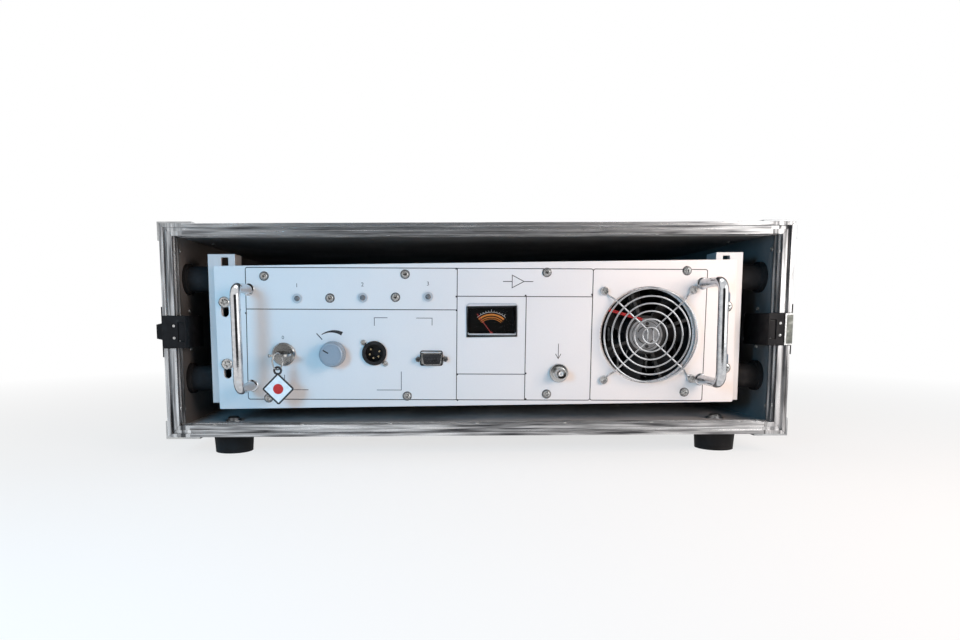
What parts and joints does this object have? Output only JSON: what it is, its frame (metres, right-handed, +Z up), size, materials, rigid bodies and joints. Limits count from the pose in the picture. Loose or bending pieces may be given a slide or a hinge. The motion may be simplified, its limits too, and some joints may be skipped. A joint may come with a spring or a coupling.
{
  "type": "radio frequency amplifier",
  "caption": "Rack-mounted radio frequency amplifier with a level knob, key switch, meter and guarded fan, hung on rubber mounts in an edged carrying case.",
  "frame": {"origin": "on the floor under the middle of the whole object's box", "axes": "+Z up, the panel faces -Y, +X to the right as seen from the front"},
  "size_m": [0.598, 0.4688, 0.2125],
  "materials": {
    "panel_aluminium": "silver anodised, fine brushed grain",
    "rim_aluminium": "mill finish extrusion, scuffed",
    "zinc_steel": "zinc plated, dull",
    "dark_screw": "black oxide, satin",
    "bright_screw": "bright zinc",
    "bright_chrome": "polished plate",
    "nickel": "satin nickel plate",
    "gold_contact": "gold flashed",
    "case_board": "plywood with charcoal film face",
    "black_steel": "black powder coat",
    "latch_steel": "black zinc, worn",
    "black_rubber": "moulded, matte",
    "fan_plastic": "glass filled, black",
    "rail_aluminium": "extrusion, satin etched",
    "knob_aluminium": "turned, satin anodised",
    "black_socket": "black zinc die casting",
    "black_plastic": "moulded, black satin",
    "socket_plastic": "moulded insulator",
    "control_metal": "plated can",
    "meter_face": "matt black with a printed scale",
    "meter_glass": "clear flat window",
    "needle_red": "red lacquer",
    "lamp_plastic": "smoky grey lens",
    "circuit_board": "green solder mask",
    "chassis_sheet": "passivated sheet",
    "sink_aluminium": "plain extrusion",
    "tag_plastic": "laminated white card"
  },
  "bodies": {
    "amplifier": {"bnc_core": "socket_plastic", "bnc_socket": "nickel", "bow_handles": "bright_chrome", "carry_plates": "zinc_steel", "case_back": "case_board", "case_bottom": "case_board", "case_left": "case_board", "case_right": "case_board", "case_top": "case_board", "chassis_cover": "chassis_sheet", "chassis_tray": "chassis_sheet", "corner_braces": "zinc_steel", "dsub_insert": "socket_plastic", "dsub_shell": "nickel", "edge_angles": "rim_aluminium", "fan_frame": "fan_plastic", "fan_guard": "bright_chrome", "fan_screws": "bright_screw", "feet": "black_rubber", "foot_screws": "zinc_steel", "front_panel": "panel_aluminium", "front_rim": "rim_aluminium", "heat_sink": "sink_aluminium", "key_barrel": "nickel", "lamp_bezels": "nickel", "lamp_board": "circuit_board", "lamp_lenses": "lamp_plastic", "latch_dishes": "black_steel", "mains_inlet": "black_plastic", "meter_case": "black_plastic", "meter_dial": "meter_face", "meter_window": "meter_glass", "output_socket": "nickel", "panel_screws": "dark_screw", "pot_body": "control_metal", "power_supply": "chassis_sheet", "rack_frame": "zinc_steel", "rack_rails": "rail_aluminium", "rack_screws": "bright_screw", "rear_panel": "chassis_sheet", "rf_board": "circuit_board", "shock_mounts": "black_rubber", "xlr_pins": "gold_contact", "xlr_shell": "black_socket"},
    "fan_rotor": {"fan_rotor": "fan_plastic"},
    "level_knob": {"level_knob": "knob_aluminium", "pot_shaft": "nickel"},
    "key": {"key_plug": "nickel", "key": "nickel"},
    "key_ring": {"key_ring": "nickel"},
    "key_tag": {"key_tag": "tag_plastic"},
    "meter_needle": {"meter_needle": "needle_red"},
    "left_latch_cam": {"left_latch_cam": "latch_steel"},
    "left_latch_hook": {"left_latch_hook": "latch_steel"},
    "left_latch_wing": {"left_latch_wing": "latch_steel"},
    "right_latch_cam": {"right_latch_cam": "latch_steel"},
    "right_latch_hook": {"right_latch_hook": "latch_steel"},
    "right_latch_wing": {"right_latch_wing": "latch_steel"},
    "left_handle": {"left_handle_bail": "bright_chrome"},
    "right_handle": {"right_handle_bail": "bright_chrome"}
  },
  "joints": [
    {"name": "fan_spin", "type": "hinge", "parent": "amplifier", "child": "fan_rotor", "pos_m": [0.16002, -0.18507, 0.11015], "axis": [0, 1, 0], "continuous": true},
    {"name": "level_turn", "type": "hinge", "parent": "amplifier", "child": "level_knob", "pos_m": [-0.13357, -0.18507, 0.09408], "axis": [0, 1, 0], "range_deg": [-75, 195]},
    {"name": "key_turn", "type": "hinge", "parent": "amplifier", "child": "key", "pos_m": [-0.17936, -0.18507, 0.09418], "axis": [0, 1, 0], "range_deg": [-90, 0]},
    {"name": "ring_swing", "type": "hinge", "parent": "key", "child": "key_ring", "pos_m": [-0.17936, -0.21347, 0.09418], "axis": [0.4226, 0.9063, 0], "range_deg": [-15, 15]},
    {"name": "tag_swing", "type": "hinge", "parent": "key_ring", "child": "key_tag", "pos_m": [-0.17931, -0.21347, 0.08178], "axis": [0, 1, 0], "range_deg": [-25, 25]},
    {"name": "needle_swing", "type": "hinge", "parent": "amplifier", "child": "meter_needle", "pos_m": [0.01428, -0.18507, 0.11247], "axis": [0, 1, 0], "range_deg": [0, 72], "stiffness_Nm_per_rad": 0.00002},
    {"name": "left_latch_turn", "type": "hinge", "parent": "amplifier", "child": "left_latch_cam", "pos_m": [-0.277, -0.18307, 0.1155], "axis": [1, 0, 0], "range_deg": [0, 180]},
    {"name": "left_hook_slide", "type": "slide", "parent": "amplifier", "child": "left_latch_hook", "axis": [0, -1, 0], "range_m": [0, 0.01]},
    {"name": "left_wing_fold", "type": "hinge", "parent": "left_latch_cam", "child": "left_latch_wing", "pos_m": [-0.277, -0.18307, 0.1155], "axis": [0, 0, 1], "range_deg": [-90, 0]},
    {"name": "left_handle_lift", "type": "hinge", "parent": "amplifier", "child": "left_handle", "pos_m": [-0.291, 0.03492, 0.1335], "axis": [0, 1, 0], "range_deg": [0, 90]},
    {"name": "right_latch_turn", "type": "hinge", "parent": "amplifier", "child": "right_latch_cam", "pos_m": [0.277, -0.18307, 0.1155], "axis": [1, 0, 0], "range_deg": [0, 180]},
    {"name": "right_hook_slide", "type": "slide", "parent": "amplifier", "child": "right_latch_hook", "axis": [0, -1, 0], "range_m": [0, 0.01]},
    {"name": "right_wing_fold", "type": "hinge", "parent": "right_latch_cam", "child": "right_latch_wing", "pos_m": [0.277, -0.18307, 0.1155], "axis": [0, 0, 1], "range_deg": [-52, 38]},
    {"name": "right_handle_lift", "type": "hinge", "parent": "amplifier", "child": "right_handle", "pos_m": [0.291, 0.03492, 0.1335], "axis": [0, -1, 0], "range_deg": [0, 90]}
  ],
  "couplings": [
    {"joint": "left_hook_slide", "follows": "left_latch_turn", "m_per_rad": 0.0031831},
    {"joint": "right_hook_slide", "follows": "right_latch_turn", "m_per_rad": 0.0031831}
  ]
}
